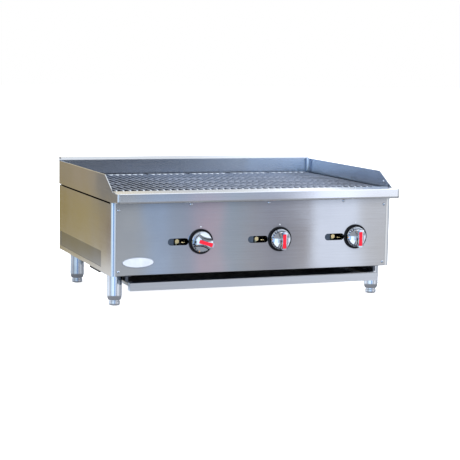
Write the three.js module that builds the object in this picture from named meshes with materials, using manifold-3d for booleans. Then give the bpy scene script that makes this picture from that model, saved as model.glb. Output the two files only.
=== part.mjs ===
// A counter-top gas charbroiler: three U-shaped burners under cast-iron radiants and six lift-out
// grates, in a folded stainless-steel body on four legs with adjustable feet.
// Millimetres. +X is the operator's right, +Y runs to the back, +Z is up. The parts are drawn with
// Y = 0 on the front panel's face, and the whole group is moved at the end so that its origin is
// under the middle of its box.

import * as THREE from 'three';
import { mergeVertices } from 'three/addons/utils/BufferGeometryUtils.js';
import Module from 'manifold-3d';

const wasm = await Module();
wasm.setup();

// ---------------------------------------------------------------- driving dimensions

const GAP = 0.3; // between pieces that touch
const SHEET = 1.5; // outer stainless sheet
const LINER = 1.2; // inner steel sheet
const ROUND = 16; // segments in a full turn of a round part
const SMALL_ROUND = 10;

// Body
const HALF_WIDTH = 457;
const BODY_DEPTH = 636;
const BODY_BOTTOM = 95.5;
const LOWER_SIDE_TOP = 310;
const SPLASH_BOTTOM = 315;
const SPLASH_TOP = 392;
const SPLASH_SLOPE_TOP_Y = 76; // where the splash's level top ends
const SPLASH_SLOPE_FOOT_Y = -9; // where its slope meets the rail
const HEM_HEIGHT = 8;
const HEM_THICKNESS = 1.5;
const SPLASH_RETURN = 16; // width of the side splash's bend along the rear splash
const CORNER_STRIP = 14; // width of the side sheet's return on the front
const CORNER_RADIUS = 6;
const RECESS = { y: [112, 616], z: [109, 158] };

// Rear splash
const REAR_SPLASH_TOP = 402.5;
const REAR_BEND_RADIUS = 10;
const REAR_FLANGE_Y = 668;
const REAR_LIP_BOTTOM = 390;

// Front rail
const RAIL_FRONT_Y = -63;
const RAIL_BOTTOM = 316.5;
const RAIL_TOP = 346.5;
const RAIL_BACK_Y = 23;
const RAIL_TOP_RADIUS = 5;
const RAIL_LOW_RADIUS = 10;

// Burner places along X; each has its valve and knob in line with its right leg
const BURNER_PITCH = 257.5;
const BURNERS = [
  { side: 'left', x: -BURNER_PITCH, knobTurn: 72.5 },
  { side: 'middle', x: 0, knobTurn: 0 },
  { side: 'right', x: BURNER_PITCH, knobTurn: 0 },
];
const KNOB_OFFSET = 79.5;
const VALVE_Z = 192.5;

// Pilot access slots in the front panel
const SLOT_OFFSET = 8; // slot centre, from the burner's centre
const SLOT_LENGTH = 66;
const SLOT_HEIGHT = 21;
const SLOT_Z = 193.3;

// Knobs and bezels
const BEZEL_RADIUS = 38;
const BEZEL_DEPTH = 6;
const KNOB_RADIUS = 32;
const KNOB_SKIRT = 9;
const GRIP_LENGTH = 58;
const GRIP_WIDTH = 17;
const GRIP_FRONT_Y = -41;
const STEM_RADIUS = 3;

// Gas pipework
const PIPE_RADIUS = 13.45; // 3/4 inch pipe
const PIPE_BORE = 10.5;
const MANIFOLD_Y = 22;
const MANIFOLD_Z = 158;
const MANIFOLD_X = [-420, 388];
const SUPPLY_X = 405;
const SUPPLY_END_Y = 680;
const ELBOW_RADIUS = 17;

// Burners, radiants and liners
const BURNER_RADIUS = 16;
const BURNER_WALL = 1.5;
const BURNER_Y = [49, 548];
const BURNER_LEG_FRONT_Y = 84;
const RADIANT_HALF_WIDTH = 125;
const RADIANT_Y = [60, 616];
const RADIANT_THICKNESS = 3;
const RADIANT_FOOT_Z = 236;
const RADIANT_PEAK_Z = 276;
const RADIANT_VALLEY_Z = 246;
const LINER_X = 443;
const LINER_FRONT_Y = 56;
const LINER_REAR_Y = 618;
const LINER_BOTTOM = 112;
const LINER_TOP = 316;

// Grates, which lie against the left splash and leave a gap at the right one
const GRATE_COUNT = 6;
const BARS_PER_GRATE = 7;
const BAR_PITCH = 21.2;
const GRATE_PITCH = BARS_PER_GRATE * BAR_PITCH;
const BAR_WIDTH = 7;
const LAST_BAR_X = 420.5;
const GRATE_Y = [30, 605];
const GRATE_TOP = 346.5;
const GRATE_BOTTOM = 322.3;
const GRATE_RIBS_Y = [90, 181, 290, 415];
const GRATE_RIB_DROP = 0.8; // from the bars' tops to the ribs' tops
const GRATE_NOSE_DROP = 12; // and to the top of the front cross bar
const GRATE_REST_TOP = GRATE_BOTTOM - GAP;

// Legs, feet and drip tray
const LEG_X = 428.5;
const LEG_Y = { front: 63, rear: 505 };
const LEG_RADIUS = 22.5;
const LEG_BOTTOM = 16.3;
const FOOT_RADIUS = 17;
const FOOT_HEIGHT = 16;
const SCREW_RADIUS = 8; // the foot's levelling screw
const TRAY_HALF_WIDTH = 391.5;
const TRAY_RIM_Z = 77.7;
const TRAY_RIM_X = 403.5;
// The pan's side view, in [y, z]: its floor falls to the back and its rear wall leans
const PAN_PROFILE = [[-4, TRAY_RIM_Z], [-4, 59], [470, 54.5], [520, TRAY_RIM_Z]];
const TRAY_LIP = { halfWidth: 406, frontY: -25, bottom: 54 };
const GUIDE_X = [394, 405.2];
const GUIDE_Y = [2, 540];
const GUIDE_Z = [75, 95.2];

// ---------------------------------------------------------------- materials

const steel = () => new THREE.MeshStandardMaterial({ color: 0xb9bdc4, roughness: 0.32, metalness: 1 });
const dullSteel = () => new THREE.MeshStandardMaterial({ color: 0x8d9299, roughness: 0.5, metalness: 1 });
const castIron = () => new THREE.MeshStandardMaterial({ color: 0x2b2d31, roughness: 0.7, metalness: 0.4 });
const chrome = () => new THREE.MeshStandardMaterial({ color: 0xd9dce0, roughness: 0.12, metalness: 1 });
const blackPlastic = () => new THREE.MeshStandardMaterial({ color: 0x101113, roughness: 0.4, metalness: 0 });
const brass = () => new THREE.MeshStandardMaterial({ color: 0xb8923f, roughness: 0.3, metalness: 1 });

// ---------------------------------------------------------------- solids

// Vertices are rounded to a micrometre, so that faces drawn flush with each other are flush
function toSolid(geometry) {
  const bare = geometry.clone();
  bare.deleteAttribute('normal');
  bare.deleteAttribute('uv');
  const merged = mergeVertices(bare, 1e-4);
  const vertProperties = merged.attributes.position.array.map((value) => Math.round(value * 1000) / 1000);
  const triVerts = new Uint32Array(merged.index.array);
  return new wasm.Manifold(new wasm.Mesh({ numProp: 3, vertProperties, triVerts }));
}

function toGeometry(solid) {
  const mesh = solid.getMesh();
  const geometry = new THREE.BufferGeometry();
  geometry.setAttribute('position', new THREE.BufferAttribute(mesh.vertProperties, 3));
  geometry.setIndex(new THREE.BufferAttribute(mesh.triVerts, 1));
  const flat = geometry.toNonIndexed();
  flat.computeVertexNormals();
  return flat;
}

function join(...geometries) {
  return toGeometry(geometries.map(toSolid).reduce((all, next) => all.add(next)));
}

function cut(geometry, ...tools) {
  return toGeometry(tools.map(toSolid).reduce((rest, tool) => rest.subtract(tool), toSolid(geometry)));
}

function block([x0, x1], [y0, y1], [z0, z1]) {
  const box = new THREE.BoxGeometry(x1 - x0, y1 - y0, z1 - z0);
  return box.translate((x0 + x1) / 2, (y0 + y1) / 2, (z0 + z1) / 2);
}

// Cylinders along each axis, from one end to the other
function rodX(radius, [x0, x1], y, z, segments = ROUND) {
  const rod = new THREE.CylinderGeometry(radius, radius, x1 - x0, segments).rotateZ(-Math.PI / 2);
  return rod.translate((x0 + x1) / 2, y, z);
}

function rodY(radius, x, [y0, y1], z, segments = ROUND) {
  return new THREE.CylinderGeometry(radius, radius, y1 - y0, segments).translate(x, (y0 + y1) / 2, z);
}

function rodZ(radius, x, y, [z0, z1], segments = ROUND) {
  const rod = new THREE.CylinderGeometry(radius, radius, z1 - z0, segments).rotateX(Math.PI / 2);
  return rod.translate(x, y, (z0 + z1) / 2);
}

// A turned part: its profile is a list of [radius, height], and it stands on +Z
function turned(profile, segments = ROUND) {
  const points = profile.map(([radius, height]) => new THREE.Vector2(radius, height));
  return new THREE.LatheGeometry(points, segments).rotateX(Math.PI / 2);
}

function extrude(outline, length) {
  const shape = new THREE.Shape(outline.map(([u, v]) => new THREE.Vector2(u, v)));
  return new THREE.ExtrudeGeometry(shape, { depth: length, bevelEnabled: false });
}

// Prisms: the outline is in [y, z] for prismX, in [x, z] for prismY and in [x, y] for prismZ
function prismX(outline, [x0, x1]) {
  const turn = new THREE.Matrix4().makeBasis(
    new THREE.Vector3(0, 1, 0), new THREE.Vector3(0, 0, 1), new THREE.Vector3(1, 0, 0));
  return extrude(outline, x1 - x0).applyMatrix4(turn).translate(x0, 0, 0);
}

function prismY(outline, [y0, y1]) {
  const turn = new THREE.Matrix4().makeBasis(
    new THREE.Vector3(1, 0, 0), new THREE.Vector3(0, 0, 1), new THREE.Vector3(0, -1, 0));
  return extrude(outline, y1 - y0).applyMatrix4(turn).translate(0, y1, 0);
}

function prismZ(outline, [z0, z1]) {
  return extrude(outline, z1 - z0).translate(0, 0, z0);
}

// Replaces each corner that has a radius, given as [u, v, radius], by an arc
function rounded(points, steps = 4) {
  return points.flatMap(([u, v, radius], i) => {
    if (!radius) return [[u, v]];
    const corner = new THREE.Vector2(u, v);
    const toPrevious = new THREE.Vector2(...points[i - 1].slice(0, 2)).sub(corner).normalize();
    const toNext = new THREE.Vector2(...points[i + 1].slice(0, 2)).sub(corner).normalize();
    const half = Math.acos(toPrevious.dot(toNext)) / 2;
    const centre = toPrevious.clone().add(toNext).normalize().multiplyScalar(radius / Math.sin(half)).add(corner);
    const start = toPrevious.clone().multiplyScalar(radius / Math.tan(half)).add(corner).sub(centre);
    const end = toNext.clone().multiplyScalar(radius / Math.tan(half)).add(corner).sub(centre);
    const sweep = Math.atan2(start.cross(end), start.dot(end));
    return Array.from({ length: steps + 1 }, (_, k) => {
      const spoke = start.clone().rotateAround(new THREE.Vector2(), (sweep * k) / steps).add(centre);
      return [spoke.x, spoke.y];
    });
  });
}

// The outline of a folded sheet: the path is its outer face, and its thickness lies to the left
function folded(path, thickness) {
  const points = path.map(([u, v]) => new THREE.Vector2(u, v));
  const normals = points.slice(1).map((point, i) => {
    const along = point.clone().sub(points[i]).normalize();
    return new THREE.Vector2(-along.y, along.x);
  });
  const inner = points.map((point, i) => {
    const before = normals[Math.max(i - 1, 0)];
    const after = normals[Math.min(i, normals.length - 1)];
    const mitre = before.clone().add(after).normalize();
    return point.clone().addScaledVector(mitre, thickness / mitre.dot(before));
  });
  return [...points, ...inner.reverse()].map(({ x, y }) => [x, y]);
}

// The mirror image across X = 0, with its triangles turned back to face outwards
function mirrored(geometry) {
  const copy = geometry.index ? geometry.toNonIndexed() : geometry.clone();
  const { array } = copy.attributes.position;
  for (let i = 0; i < array.length; i += 9) {
    const [x0, y0, z0, x1, y1, z1, x2] = array.slice(i, i + 7);
    array.set([-x1, y1, z1, -x0, y0, z0, -x2], i);
  }
  copy.computeVertexNormals();
  return copy;
}

const charbroiler = new THREE.Group();

function add(name, geometry, material) {
  const mesh = new THREE.Mesh(geometry, material);
  mesh.name = name;
  charbroiler.add(mesh);
}

// A piece drawn for the left side, and its mirror image on the right
function addPair(suffix, leftGeometry, makeMaterial) {
  add(`left_${suffix}`, leftGeometry, makeMaterial());
  add(`right_${suffix}`, mirrored(leftGeometry), makeMaterial());
}

// ---------------------------------------------------------------- outer sheets

function sidePanel() {
  const innerEdgeX = -HALF_WIDTH + CORNER_STRIP;
  const skin = folded(rounded([
    [innerEdgeX, 0],
    [-HALF_WIDTH, 0, CORNER_RADIUS],
    [-HALF_WIDTH, BODY_DEPTH, 3],
    [innerEdgeX, BODY_DEPTH],
  ]).reverse(), SHEET);
  const corner = folded(rounded([
    [innerEdgeX, 0],
    [-HALF_WIDTH, 0, CORNER_RADIUS],
    [-HALF_WIDTH, CORNER_RADIUS + 2],
  ]).reverse(), SHEET);
  const lower = prismZ(skin, [BODY_BOTTOM, LOWER_SIDE_TOP]);
  const cornerTop = prismZ(corner, [LOWER_SIDE_TOP - 1, SPLASH_BOTTOM - GAP]);
  const window = block([-HALF_WIDTH - 1, -HALF_WIDTH + SHEET + 1], RECESS.y, RECESS.z);
  return cut(join(lower, cornerTop), window);
}

function sideSplash() {
  const frontY = -1.7;
  const overRail = RAIL_TOP + GAP;
  const run = SPLASH_SLOPE_TOP_Y - SPLASH_SLOPE_FOOT_Y;
  const slope = (SPLASH_TOP - RAIL_TOP) / run;
  const footY = SPLASH_SLOPE_FOOT_Y + GAP / slope;
  const plate = prismX([
    [frontY, SPLASH_BOTTOM],
    [BODY_DEPTH, SPLASH_BOTTOM],
    [BODY_DEPTH, SPLASH_TOP],
    [SPLASH_SLOPE_TOP_Y, SPLASH_TOP],
    [footY, overRail],
    [frontY, overRail],
  ], [-HALF_WIDTH, -HALF_WIDTH + SHEET]);
  const hem = prismX(folded([
    [BODY_DEPTH, SPLASH_TOP],
    [SPLASH_SLOPE_TOP_Y, SPLASH_TOP],
    [footY + HEM_HEIGHT / slope, overRail + HEM_HEIGHT],
  ], HEM_HEIGHT), [-HALF_WIDTH + SHEET / 2, -HALF_WIDTH + SHEET + HEM_THICKNESS]);
  const rearReturn = block([-HALF_WIDTH + SHEET / 2, -HALF_WIDTH + SPLASH_RETURN],
    [BODY_DEPTH - SHEET, BODY_DEPTH], [RAIL_TOP - 20, SPLASH_TOP]);
  return join(plate, hem, rearReturn);
}

function rearSplash() {
  const faceY = BODY_DEPTH + GAP;
  return prismX(folded(rounded([
    [faceY, SPLASH_BOTTOM],
    [faceY, REAR_SPLASH_TOP, REAR_BEND_RADIUS],
    [REAR_FLANGE_Y, REAR_SPLASH_TOP, 3],
    [REAR_FLANGE_Y, REAR_LIP_BOTTOM],
  ]).reverse(), SHEET), [-HALF_WIDTH, HALF_WIDTH]);
}

function rearPanel() {
  const plate = block([-HALF_WIDTH + 4, HALF_WIDTH - 4],
    [BODY_DEPTH + GAP, BODY_DEPTH + GAP + SHEET], [BODY_BOTTOM, SPLASH_BOTTOM - 3]);
  const pipeHole = rodY(PIPE_RADIUS + 2, SUPPLY_X, [BODY_DEPTH - 2, BODY_DEPTH + 5], MANIFOLD_Z);
  return cut(plate, pipeHole);
}

function slotTool(x) {
  const round = SLOT_HEIGHT / 2;
  const reach = SLOT_LENGTH / 2 - round;
  const depth = [-2, SHEET + 2];
  return join(
    block([x - reach, x + reach], depth, [SLOT_Z - round, SLOT_Z + round]),
    rodY(round, x - reach, depth, SLOT_Z),
    rodY(round, x + reach, depth, SLOT_Z));
}

function frontPanel() {
  const halfWidth = HALF_WIDTH - CORNER_STRIP - GAP;
  const flange = 16;
  const sheet = prismX(folded([
    [flange, RAIL_BOTTOM - GAP],
    [0, RAIL_BOTTOM - GAP],
    [0, BODY_BOTTOM],
    [flange, BODY_BOTTOM],
  ], SHEET), [-halfWidth, halfWidth]);
  const holes = BURNERS.flatMap(({ x }) => [
    slotTool(x + SLOT_OFFSET),
    rodY(7, x + KNOB_OFFSET, [-2, SHEET + 2], VALVE_Z, SMALL_ROUND),
  ]);
  return cut(sheet, ...holes);
}

function frontRail() {
  const behindPanelPlane = -1.7;
  const outside = rounded([
    [behindPanelPlane, RAIL_BOTTOM],
    [RAIL_FRONT_Y, RAIL_BOTTOM, RAIL_LOW_RADIUS],
    [RAIL_FRONT_Y, RAIL_TOP, RAIL_TOP_RADIUS],
    [RAIL_BACK_Y, RAIL_TOP, 2],
    [RAIL_BACK_Y, RAIL_TOP - 25],
  ], 5).reverse();
  const betweenSplashes = HALF_WIDTH - SHEET - GAP;
  const channel = prismX(folded(outside, SHEET), [-betweenSplashes, betweenSplashes]);
  const endOutline = rounded([
    [-2, RAIL_BOTTOM],
    [RAIL_FRONT_Y, RAIL_BOTTOM, RAIL_LOW_RADIUS],
    [RAIL_FRONT_Y, RAIL_TOP, RAIL_TOP_RADIUS],
    [-2, RAIL_TOP],
  ], 5);
  const leftEnd = prismX(endOutline, [-HALF_WIDTH, -HALF_WIDTH + SHEET + 1]);
  return join(channel, leftEnd, mirrored(leftEnd));
}

addPair('side_panel', sidePanel(), steel);
addPair('side_splash', sideSplash(), steel);
add('rear_splash', rearSplash(), steel());
add('rear_panel', rearPanel(), steel());
add('front_panel', frontPanel(), steel());
add('front_rail', frontRail(), steel());

// ---------------------------------------------------------------- inner frame and liners

function baseRail() {
  const webX = -HALF_WIDTH + 4;
  const y = [18, BODY_DEPTH - 6];
  return join(
    block([-HALF_WIDTH + SHEET + GAP, -396], y, [BODY_BOTTOM, BODY_BOTTOM + 2]),
    block([webX, webX + 2], y, [BODY_BOTTOM + 1, 178]));
}

function sideLiner() {
  return block([-LINER_X - LINER, -LINER_X], [LINER_FRONT_Y, LINER_REAR_Y], [LINER_BOTTOM, LINER_TOP]);
}

function ledge(yBack, yFront) {
  const top = RADIANT_FOOT_Z - GAP;
  return block([-LINER_X + GAP, LINER_X - GAP], [yBack, yFront], [top - LINER, top]);
}

function frontLiner() {
  const plate = block([-LINER_X + GAP, LINER_X - GAP],
    [LINER_FRONT_Y, LINER_FRONT_Y + LINER], [LINER_BOTTOM, LINER_TOP]);
  const through = [LINER_FRONT_Y - 2, LINER_FRONT_Y + LINER + 2];
  const holes = BURNERS.flatMap(({ x }) => [
    rodY(BURNER_RADIUS + 2, x + KNOB_OFFSET, through, VALVE_Z),
    rodY(6, x + SLOT_OFFSET, through, SLOT_Z, SMALL_ROUND),
  ]);
  const pipeHole = rodY(PIPE_RADIUS + 2, SUPPLY_X, through, MANIFOLD_Z);
  return cut(join(plate, ledge(LINER_FRONT_Y + LINER / 2, LINER_FRONT_Y + 18)), pipeHole, ...holes);
}

function rearLiner() {
  const plate = block([-LINER_X + GAP, LINER_X - GAP],
    [LINER_REAR_Y + GAP, LINER_REAR_Y + GAP + LINER], [LINER_BOTTOM, RAIL_TOP - 6]);
  const pipeHole = rodY(PIPE_RADIUS + 2, SUPPLY_X, [LINER_REAR_Y - 2, LINER_REAR_Y + 5], MANIFOLD_Z);
  return cut(join(plate, ledge(LINER_REAR_Y - 16, LINER_REAR_Y + GAP + LINER / 2)), pipeHole);
}

// An angle across the firebox that the grates' ends rest on
function grateRest(shelf, webY) {
  const halfWidth = LINER_X - GAP;
  return join(
    block([-halfWidth, halfWidth], shelf, [GRATE_REST_TOP - 2, GRATE_REST_TOP]),
    block([-halfWidth, halfWidth], [webY, webY + 2], [GRATE_REST_TOP - 26, GRATE_REST_TOP - 1]));
}

function trayGuide() {
  const [inner, outer] = GUIDE_X;
  const [bottom, top] = GUIDE_Z;
  return join(
    block([-outer, -outer + LINER], GUIDE_Y, GUIDE_Z),
    block([-outer, -inner], GUIDE_Y, [bottom, bottom + LINER]),
    block([-outer, -396], GUIDE_Y, [top - LINER, top]),
    block([-412, -outer + LINER], [GUIDE_Y[0], GUIDE_Y[0] + LINER], [80, top]));
}

addPair('base_rail', baseRail(), dullSteel);
addPair('firebox_liner', sideLiner(), dullSteel);
add('front_firebox_liner', frontLiner(), dullSteel());
add('rear_firebox_liner', rearLiner(), dullSteel());
add('front_grate_rest', grateRest([28, 46], 27), dullSteel());
add('rear_grate_rest', grateRest([588, 611], 610), dullSteel());
addPair('tray_guide', trayGuide(), dullSteel);

// ---------------------------------------------------------------- legs and feet

function leg(x, y) {
  const wall = 2;
  const insertTop = LEG_BOTTOM + 14;
  const bore = SCREW_RADIUS + 0.4;
  const top = BODY_BOTTOM - GAP;
  return turned([
    [bore, LEG_BOTTOM],
    [LEG_RADIUS, LEG_BOTTOM],
    [LEG_RADIUS, top],
    [LEG_RADIUS - wall, top],
    [LEG_RADIUS - wall, insertTop],
    [bore, insertTop],
    [bore, LEG_BOTTOM],
  ]).translate(x, y, 0);
}

function foot(x, y) {
  return turned([
    [0, 0],
    [FOOT_RADIUS - 2, 0],
    [FOOT_RADIUS, 2],
    [FOOT_RADIUS, FOOT_HEIGHT],
    [SCREW_RADIUS, FOOT_HEIGHT],
    [SCREW_RADIUS, 72],
    [0, 72],
  ]).translate(x, y, 0);
}

for (const [row, y] of Object.entries(LEG_Y)) {
  for (const [side, x] of [['left', -LEG_X], ['right', LEG_X]]) {
    add(`${row}_${side}_leg`, leg(x, y), steel());
    add(`${row}_${side}_foot`, foot(x, y), steel());
  }
}

// ---------------------------------------------------------------- drip tray

function dripTray() {
  const wall = LINER;
  const frontY = PAN_PROFILE[0][0];
  const rearY = PAN_PROFILE[3][0];
  const rim = [TRAY_RIM_Z - wall, TRAY_RIM_Z];
  const { halfWidth, frontY: lipY, bottom } = TRAY_LIP;
  const hollow = [
    [frontY + wall, TRAY_RIM_Z + wall],
    [frontY + wall, PAN_PROFILE[1][1] + wall],
    [PAN_PROFILE[2][0] - wall / 2, PAN_PROFILE[2][1] + wall],
    [rearY, TRAY_RIM_Z + wall],
  ];
  const pan = cut(
    prismX(PAN_PROFILE, [-TRAY_HALF_WIDTH, TRAY_HALF_WIDTH]),
    prismX(hollow, [-TRAY_HALF_WIDTH + wall, TRAY_HALF_WIDTH - wall]));
  const leftRim = block([-TRAY_RIM_X, -TRAY_HALF_WIDTH + wall / 2], [4, rearY - 3], rim);
  const lip = cut(
    block([-halfWidth, halfWidth], [lipY, frontY + wall / 2], [bottom, TRAY_RIM_Z]),
    block([-halfWidth + wall, halfWidth - wall], [lipY + wall, frontY + 5], [bottom - 1, rim[0]]));
  return join(pan, leftRim, mirrored(leftRim), lip);
}

add('drip_tray', dripTray(), steel());

// ---------------------------------------------------------------- grates

function grate(centreX) {
  const reach = ((BARS_PER_GRATE - 1) / 2) * BAR_PITCH + BAR_WIDTH / 2;
  const across = [centreX - reach, centreX + reach];
  const [frontY, rearY] = GRATE_Y;
  const bars = Array.from({ length: BARS_PER_GRATE }, (_, i) => {
    const x = centreX + (i - (BARS_PER_GRATE - 1) / 2) * BAR_PITCH;
    return block([x - BAR_WIDTH / 2, x + BAR_WIDTH / 2], GRATE_Y, [GRATE_BOTTOM, GRATE_TOP]);
  });
  const ribs = GRATE_RIBS_Y.map((y) => [y - 3, y + 3])
    .concat([[rearY - 8, rearY]])
    .map((y) => block(across, y, [GRATE_BOTTOM, GRATE_TOP - GRATE_RIB_DROP]));
  const nose = block(across, [frontY, frontY + 8], [GRATE_BOTTOM, GRATE_TOP - GRATE_NOSE_DROP]);
  return join(...bars, ...ribs, nose);
}

const lastGrateX = LAST_BAR_X - ((BARS_PER_GRATE - 1) / 2) * BAR_PITCH;
for (let i = 0; i < GRATE_COUNT; i += 1) {
  add(`grate_${i + 1}`, grate(lastGrateX - (GRATE_COUNT - 1 - i) * GRATE_PITCH), castIron());
}

// ---------------------------------------------------------------- burners, radiants and gas train

// Two hollow legs joined across the back, fed at the front of the right leg
function burner(x) {
  const [inletY, rearY] = BURNER_Y;
  const crossY = rearY - BURNER_RADIUS;
  const left = x - KNOB_OFFSET;
  const right = x + KNOB_OFFSET;
  const bore = BURNER_RADIUS - BURNER_WALL;
  const rear = (radius) => [
    rodX(radius, [left, right], crossY, VALVE_Z, SMALL_ROUND),
    rodZ(radius, left, crossY, [VALVE_Z - radius, VALVE_Z + radius], SMALL_ROUND),
    rodZ(radius, right, crossY, [VALVE_Z - radius, VALVE_Z + radius], SMALL_ROUND),
  ];
  const outer = join(
    rodY(BURNER_RADIUS, right, [inletY, crossY], VALVE_Z, SMALL_ROUND),
    rodY(BURNER_RADIUS, left, [BURNER_LEG_FRONT_Y, crossY], VALVE_Z, SMALL_ROUND),
    ...rear(BURNER_RADIUS));
  const hollow = join(
    rodY(bore, right, [inletY - 1, crossY], VALVE_Z, SMALL_ROUND),
    rodY(bore, left, [BURNER_LEG_FRONT_Y + 2, crossY], VALVE_Z, SMALL_ROUND),
    ...rear(bore));
  return cut(outer, hollow);
}

// A disc with two windows that turns in front of the burner's inlet and sets its air
function airShutter(x) {
  const y = [BURNER_Y[0] - GAP - 1.2, BURNER_Y[0] - GAP];
  const disc = rodY(20, 0, y, 0);
  const windows = [1, -1].map((side) => {
    const sector = [[6 * side, -9], [15 * side, -9], [17.5 * side, 0], [15 * side, 9], [6 * side, 9], [9 * side, 0]];
    return prismY(sector, [y[0] - 1, y[1] + 1]);
  });
  const orificeHole = rodY(7, 0, [y[0] - 1, y[1] + 1], 0, SMALL_ROUND);
  return cut(disc, orificeHole, ...windows).translate(x, 0, VALVE_Z);
}

function radiant(x) {
  const profile = folded([
    [-RADIANT_HALF_WIDTH, RADIANT_FOOT_Z],
    [-KNOB_OFFSET, RADIANT_PEAK_Z],
    [0, RADIANT_VALLEY_Z],
    [KNOB_OFFSET, RADIANT_PEAK_Z],
    [RADIANT_HALF_WIDTH, RADIANT_FOOT_Z],
  ].reverse(), RADIANT_THICKNESS).map(([u, z]) => [x + u, z]);
  const trimmed = prismY(profile, RADIANT_Y);
  const below = block([x - 200, x + 200], [0, 700], [RADIANT_FOOT_Z - 20, RADIANT_FOOT_Z]);
  return cut(trimmed, below);
}

function valveBody(x) {
  const stemBore = rodY(STEM_RADIUS + GAP, x, [5, 24], VALVE_Z, SMALL_ROUND);
  const body = join(
    rodY(13, x, [10, 34], VALVE_Z),
    rodY(6, x, [33, 47], VALVE_Z, SMALL_ROUND),
    rodZ(7, x, MANIFOLD_Y, [MANIFOLD_Z + PIPE_RADIUS + GAP, VALVE_Z], SMALL_ROUND));
  return cut(body, stemBore);
}

function valveStem(x) {
  return rodY(STEM_RADIUS, x, [-18, 22], VALVE_Z, SMALL_ROUND);
}

// Brass valve on the manifold, with its tube and pilot head between the burner's legs
function pilot(x) {
  return join(
    rodZ(4.5, x, MANIFOLD_Y, [MANIFOLD_Z + PIPE_RADIUS + GAP, SLOT_Z], SMALL_ROUND),
    rodY(7, x, [12, 30], SLOT_Z, 6),
    rodY(3.2, x, [29, 104], SLOT_Z, SMALL_ROUND),
    rodY(6, x, [103, 120], SLOT_Z, SMALL_ROUND));
}

function manifold() {
  const [left, right] = MANIFOLD_X;
  const pipe = rodX(PIPE_RADIUS, MANIFOLD_X, MANIFOLD_Y, MANIFOLD_Z);
  return cut(pipe, rodX(PIPE_BORE, [left + 6, right + 1], MANIFOLD_Y, MANIFOLD_Z));
}

function elbow() {
  const corner = new THREE.SphereGeometry(ELBOW_RADIUS, SMALL_ROUND, 12).translate(SUPPLY_X, MANIFOLD_Y, MANIFOLD_Z);
  return join(
    rodX(ELBOW_RADIUS, [MANIFOLD_X[1] + GAP, SUPPLY_X], MANIFOLD_Y, MANIFOLD_Z),
    rodY(ELBOW_RADIUS, SUPPLY_X, [MANIFOLD_Y, MANIFOLD_Y + 26], MANIFOLD_Z),
    corner);
}

function supplyPipe() {
  const startY = MANIFOLD_Y + 26 + GAP;
  const pipe = rodY(PIPE_RADIUS, SUPPLY_X, [startY, SUPPLY_END_Y], MANIFOLD_Z);
  return cut(pipe, rodY(PIPE_BORE, SUPPLY_X, [startY - 1, SUPPLY_END_Y + 1], MANIFOLD_Z));
}

for (const { side, x } of BURNERS) {
  const valveX = x + KNOB_OFFSET;
  add(`${side}_burner`, burner(x), dullSteel());
  add(`${side}_radiant`, radiant(x), castIron());
  add(`${side}_air_shutter`, airShutter(valveX), dullSteel());
  add(`${side}_valve_body`, valveBody(valveX), brass());
  add(`${side}_valve_stem`, valveStem(valveX), brass());
  add(`${side}_pilot`, pilot(x + SLOT_OFFSET), brass());
}
add('gas_manifold', manifold(), dullSteel());
add('manifold_elbow', elbow(), dullSteel());
add('gas_supply_pipe', supplyPipe(), dullSteel());

// ---------------------------------------------------------------- knobs and bezels

// Turned parts on the panel point towards the operator
function onPanel(geometry, x) {
  return geometry.rotateX(Math.PI / 2).translate(x, 0, VALVE_Z);
}

function bezel(x) {
  return onPanel(turned([
    [10, GAP],
    [BEZEL_RADIUS, GAP],
    [BEZEL_RADIUS, BEZEL_DEPTH - 2],
    [BEZEL_RADIUS - 2, BEZEL_DEPTH],
    [10, BEZEL_DEPTH],
    [10, GAP],
  ]), x);
}

// A round skirt with a bar grip across it; the turn is counter-clockwise from upright, in degrees
function knob(x, turn) {
  const back = BEZEL_DEPTH + GAP;
  const skirt = turned([
    [0, back],
    [KNOB_RADIUS, back],
    [KNOB_RADIUS, back + KNOB_SKIRT - 3],
    [KNOB_RADIUS - 3, back + KNOB_SKIRT],
    [0, back + KNOB_SKIRT],
  ]);
  const halfWidth = GRIP_WIDTH / 2;
  const halfLength = GRIP_LENGTH / 2;
  const gripFront = -GRIP_FRONT_Y;
  const grip = prismY([
    [-halfWidth, halfLength - 8],
    [-halfWidth, -halfLength + 8],
    [-halfWidth + 5, -halfLength],
    [halfWidth - 5, -halfLength],
    [halfWidth, -halfLength + 8],
    [halfWidth, halfLength - 8],
    [halfWidth - 5, halfLength],
    [-halfWidth + 5, halfLength],
  ], [-gripFront, -back - 2]);
  const stemHole = rodY(STEM_RADIUS + GAP, 0, [-20, -back + 2], 0, SMALL_ROUND);
  const upright = cut(join(skirt.rotateX(Math.PI / 2), grip), stemHole);
  return upright.rotateY(THREE.MathUtils.degToRad(-turn)).translate(x, 0, VALVE_Z);
}

for (const { side, x, knobTurn } of BURNERS) {
  add(`${side}_bezel`, bezel(x + KNOB_OFFSET), blackPlastic());
  add(`${side}_knob`, knob(x + KNOB_OFFSET, knobTurn), chrome());
}

charbroiler.position.y = -(RAIL_FRONT_Y + SUPPLY_END_Y) / 2;

export default charbroiler;
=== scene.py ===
import math

import bmesh
import bpy
from mathutils import Matrix, Vector


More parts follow.
